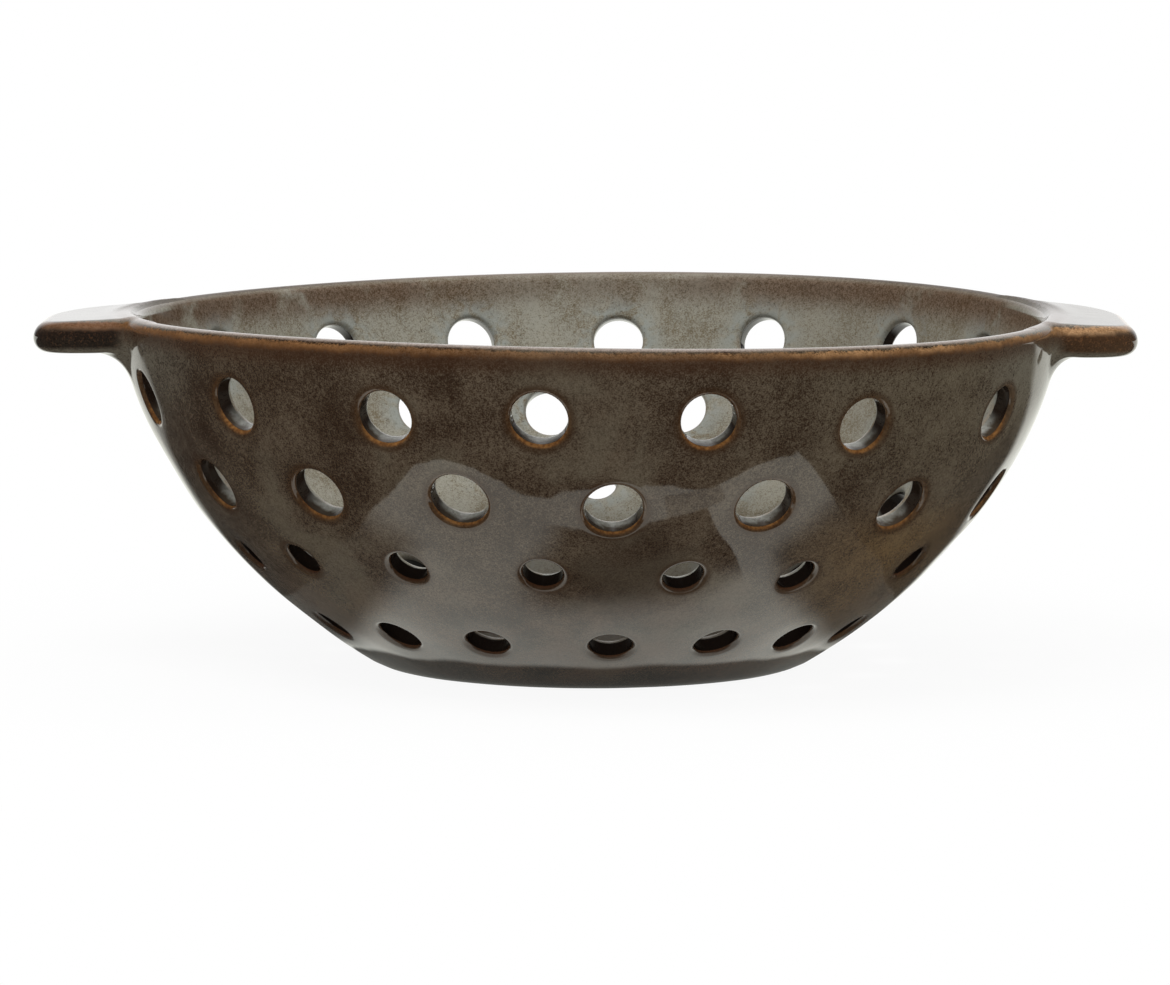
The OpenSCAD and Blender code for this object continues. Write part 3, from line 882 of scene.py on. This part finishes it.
def glaze_material():
    """The iron-mottled glaze of the bowl and the lugs."""
    mat = bpy.data.materials.new("iron_mottled_glaze")
    mat.use_nodes = True
    n = Net(mat.node_tree)
    both = n.both
    m = glaze_masks(n)
    colour = n.mix(n.span(m.depth, 0.35, 0.65), outside_colour(n, m), inside_colour(n, m))
    colour = colour_rim(n, m, colour_holes(n, m, colour))
    cells = n.add("ShaderNodeTexVoronoi", {"Vector": n.place_mm(), "Scale": 1 / 0.85})
    speck = both(n.span(cells.outputs["Distance"], 0.28, 0.10), n.span(m.patch, 0.35, 0.6), 0.45)
    colour = n.mix(speck, colour, srgb("23170e"))

    # thin, rubbed glaze along the back of the rim, and dull glaze in the low holes, on the floor,
    # under the lugs and high on the inside by the lugs
    rubbed = both(n.span(m.up, 0.3, 0.8), n.span(m.below, 3.5, 1.5), n.rest(m.root),
                  n.span(m.front, 20, -30))
    beside_lugs = both(n.span(m.beside, 66, 88), n.span(m.depth, 0.6, 0.9))
    under_lugs = both(n.span(m.beside, 84, 93), n.span(m.below, 26, 14), n.span(m.below, 4, 7),
                      n.span(m.depth, 0.3, 0.1))
    dull = both(m.in_bore, m.low_rows)
    for mask in (m.pool, both(under_lugs, 0.75), both(rubbed, 0.8), both(beside_lugs, 0.8)):
        dull = n.math("MAXIMUM", dull, mask)

    peel = n.noise(5.0, 2, 0.5, shift=41)
    bump = n.add("ShaderNodeBump", {"Height": peel, "Distance": 0.00003, "Strength": 1.0})
    shader = n.add("ShaderNodeBsdfPrincipled", {
        "Base Color": colour, "IOR": 1.52, "Normal": bump.outputs[0],
        "Specular IOR Level": n.math("SUBTRACT", 0.5, both(0.44, dull)),
        "Roughness": n.total(n.span(m.flour, 0.3, 0.7, 0.045, 0.085),
                             both(n.math("MAXIMUM", rubbed, m.pool), 0.3))})
    n.add("ShaderNodeOutputMaterial", {"Surface": shader.outputs[0]})
    return mat


def clay_material():
    """The bare clay of the foot ring."""
    mat = bpy.data.materials.new("bare_fired_clay")
    mat.use_nodes = True
    n = Net(mat.node_tree)
    broad, grit = n.noise(12, 4, 0.6), n.noise(0.6, 3, 0.7)
    colour = n.mix(n.span(broad, 0.35, 0.65), srgb("8d6b4c"), srgb("b08f6c"))
    colour = n.mix(n.span(grit, 0.58, 0.7, 0.0, 0.5), colour, srgb("5d4532"))
    bump = n.add("ShaderNodeBump", {"Height": grit, "Distance": 0.0001, "Strength": 1.0})
    shader = n.add("ShaderNodeBsdfPrincipled", {
        "Base Color": colour, "Roughness": n.span(grit, 0.3, 0.7, 0.75, 0.95),
        "Normal": bump.outputs[0]})
    n.add("ShaderNodeOutputMaterial", {"Surface": shader.outputs[0]})
    return mat


glaze, clay = glaze_material(), clay_material()
for piece, node in ((bowl, "bowl_body"), (left, "handle_left"), (right, "handle_right")):
    piece.data.materials.append(glaze)
    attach(piece, "root")
    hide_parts(node)
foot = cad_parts["foot_ring"]
for socket in foot.material_slots:
    socket.material = clay


# Floor, world and lamps
FLOOR_HALF = 2.5
# the edges in millimetres of a card that is only painted into the floor's reflection
REFLECTED_CARD_LEFT, REFLECTED_CARD_RIGHT, REFLECTED_CARD_FRONT = -76, 80, -116
NOTCH_RIGHT, NOTCH_FRONT = 42.5, -101.5


def mirrored_floor(n, x, y, from_axis):
    """How bright glossy rays see the floor, by places in millimetres.

    It is a painted reflection: a white card under the bowl that is not in the scene, uneven and
    with a dark notch in it, with a painted shadow of the bowl on it, and the backdrop behind it.
    """
    both, total = n.both, n.total
    front_edge = total(y, n.centred(n.noise(24, 2, 0.5, shift=3), 22.0))
    reflected_card = both(n.span(x, REFLECTED_CARD_LEFT, REFLECTED_CARD_LEFT + 1.5),
                n.span(total(x, both(y, 0.12)), REFLECTED_CARD_RIGHT, REFLECTED_CARD_RIGHT - 2),
                n.span(front_edge, REFLECTED_CARD_FRONT, REFLECTED_CARD_FRONT + 1.5))
    notch = both(n.span(x, NOTCH_RIGHT, NOTCH_RIGHT - 1),
                 n.span(y, NOTCH_FRONT, NOTCH_FRONT + 1), n.span(y, -61, -80),
                 n.span(total(x, both(y, 0.3)), -50, -30))
    half_dark = both(n.span(x, 23, 25), n.span(x, 50.5, 49.5), n.span(y, -112, -111),
                     n.span(y, -100, -101))
    sides = both(n.span(n.math("ABSOLUTE", x), 44, 60), n.span(y, -88, -60))
    for dark in (notch, both(half_dark, 0.45), both(sides, 0.85)):
        reflected_card = both(reflected_card, n.rest(dark))
    # painted shadow of the bowl on the reflected card, round its foot
    reflected_card = both(reflected_card, n.span(from_axis, 51.5, 53.5, 0.22, 1.0))
    to_left, to_right = n.math("MAXIMUM", both(x, -1.0), 0.0), n.math("MAXIMUM", x, 0.0)
    behind_right = n.span(n.math("SUBTRACT", y, both(to_right, 0.72)), -20, 30)
    behind_left = n.span(n.math("SUBTRACT", y, both(to_left, 0.85)), -30, 60)
    behind = n.math("MINIMUM", behind_right, behind_left)
    return n.math("MAXIMUM", n.span(reflected_card, 0, 1, 0.05, 1.25), both(behind, 1.1))


def floor_material():
    """White to the camera but for a faint shadow, plain paper to what it lights, and a painted
    reflection to glossy rays.
    """
    mat = bpy.data.materials.new("white_sweep")
    mat.use_nodes = True
    n = Net(mat.node_tree)
    paper = n.add("ShaderNodeBsdfDiffuse", {"Color": (0.8, 0.8, 0.8, 1)})
    white = n.add("ShaderNodeEmission", {"Color": (1, 1, 1, 1), "Strength": 1.0})
    at = n.place_mm()
    from_axis = n.add("ShaderNodeVectorMath", {0: at}, operation="LENGTH").outputs["Value"]
    seen = n.add("ShaderNodeMixShader", {
        0: n.span(from_axis, 60, 220, 0.93, 1.0), 1: paper.outputs[0], 2: white.outputs[0]})
    painted_reflection = n.add("ShaderNodeEmission", {
        "Color": (0.99, 1, 0.92, 1),
        "Strength": mirrored_floor(n, n.part(at, "X"), n.part(at, "Y"), from_axis)})
    n.add("ShaderNodeOutputMaterial", {"Surface": n.by_ray(paper, painted_reflection, seen)})
    return mat


floor_mesh = bpy.data.meshes.new("floor")
floor_mesh.from_pydata([(x * FLOOR_HALF, y * FLOOR_HALF, 0)
                        for x, y in ((-1, -1), (1, -1), (1, 1), (-1, 1))], [], [(0, 1, 2, 3)])
floor = bpy.data.objects.new("floor", floor_mesh)
floor_mesh.materials.append(floor_material())
bpy.context.scene.collection.objects.link(floor)


def studio_world():
    """White to the camera. Glossy rays see a backdrop, bright behind the bowl, dark in front."""
    world = bpy.data.worlds.new("studio")
    world.use_nodes = True
    n = Net(world.node_tree)
    toward = n.add("ShaderNodeTexCoord").outputs["Generated"]
    back, aside = n.part(toward, "Y"), n.part(toward, "X")
    to_right = n.math("SUBTRACT", back, n.both(n.math("MAXIMUM", aside, 0.0), 1.6))
    to_left = n.total(back, n.both(n.math("MINIMUM", aside, 0.0), 1.8))
    bright = n.math("MINIMUM", n.span(to_left, -0.3, 0.55, 0.06, 1.1),
                    n.span(to_right, -0.3, 0.45, 0.06, 1.1))
    straight = n.span(n.math("ABSOLUTE", aside), 0.08, 0.3, 1.0, 0.72)
    shades = [n.add("ShaderNodeBackground", {"Color": (1, 1, 1, 1), "Strength": strength})
              for strength in (0.6, n.both(bright, straight), 1.0)]
    n.add("ShaderNodeOutputWorld", {"Surface": n.by_ray(*shades)})
    return world


bpy.context.scene.world = studio_world()


def lamp(name, at, size, watts):
    """A softbox that points at the bowl and isn't mirrored in it."""
    data = bpy.data.lights.new(name, "AREA")
    data.shape = "RECTANGLE"
    data.size, data.size_y = size
    data.energy = watts
    obj = bpy.data.objects.new(name, data)
    obj.location = at
    obj.rotation_euler = (Vector((0, 0, 0.04)) - Vector(at)).to_track_quat("-Z", "Y").to_euler()
    obj.visible_glossy = False
    bpy.context.scene.collection.objects.link(obj)


lamp("key_softbox", (-0.35, -0.45, 1.1), (0.7, 0.5), 9.0)
lamp("fill_softbox", (0.9, -0.2, 0.7), (0.5, 0.6), 3.0)

# Camera
# Fitted to the photograph's outline and rim: place in millimetres, angles and lens
CAMERA_AT = (-1.07, -1218, 176.65)
PITCH, ROLL = math.radians(6.568), math.radians(0.118)
LENS, SENSOR = 175.385, 36.0


def photo_camera():
    data = bpy.data.cameras.new("photo_camera")
    data.sensor_fit = "HORIZONTAL"
    data.sensor_width = SENSOR
    data.lens = LENS
    data.clip_end = 20
    camera = bpy.data.objects.new("photo_camera", data)
    bpy.context.scene.collection.objects.link(camera)
    look = Vector((0, math.cos(PITCH), -math.sin(PITCH)))
    top = Vector((0, math.sin(PITCH), math.cos(PITCH)))
    across = Vector((1, 0, 0)) * math.cos(ROLL) + top * math.sin(ROLL)
    turned = Matrix((across, across.cross(look), -look)).transposed().to_4x4()
    camera.matrix_world = Matrix.Translation(Vector(CAMERA_AT) * MM) @ turned
    return camera


bpy.context.scene.camera = photo_camera()
bpy.context.scene.view_settings.view_transform = "Standard"

bpy.context.view_layer.update()
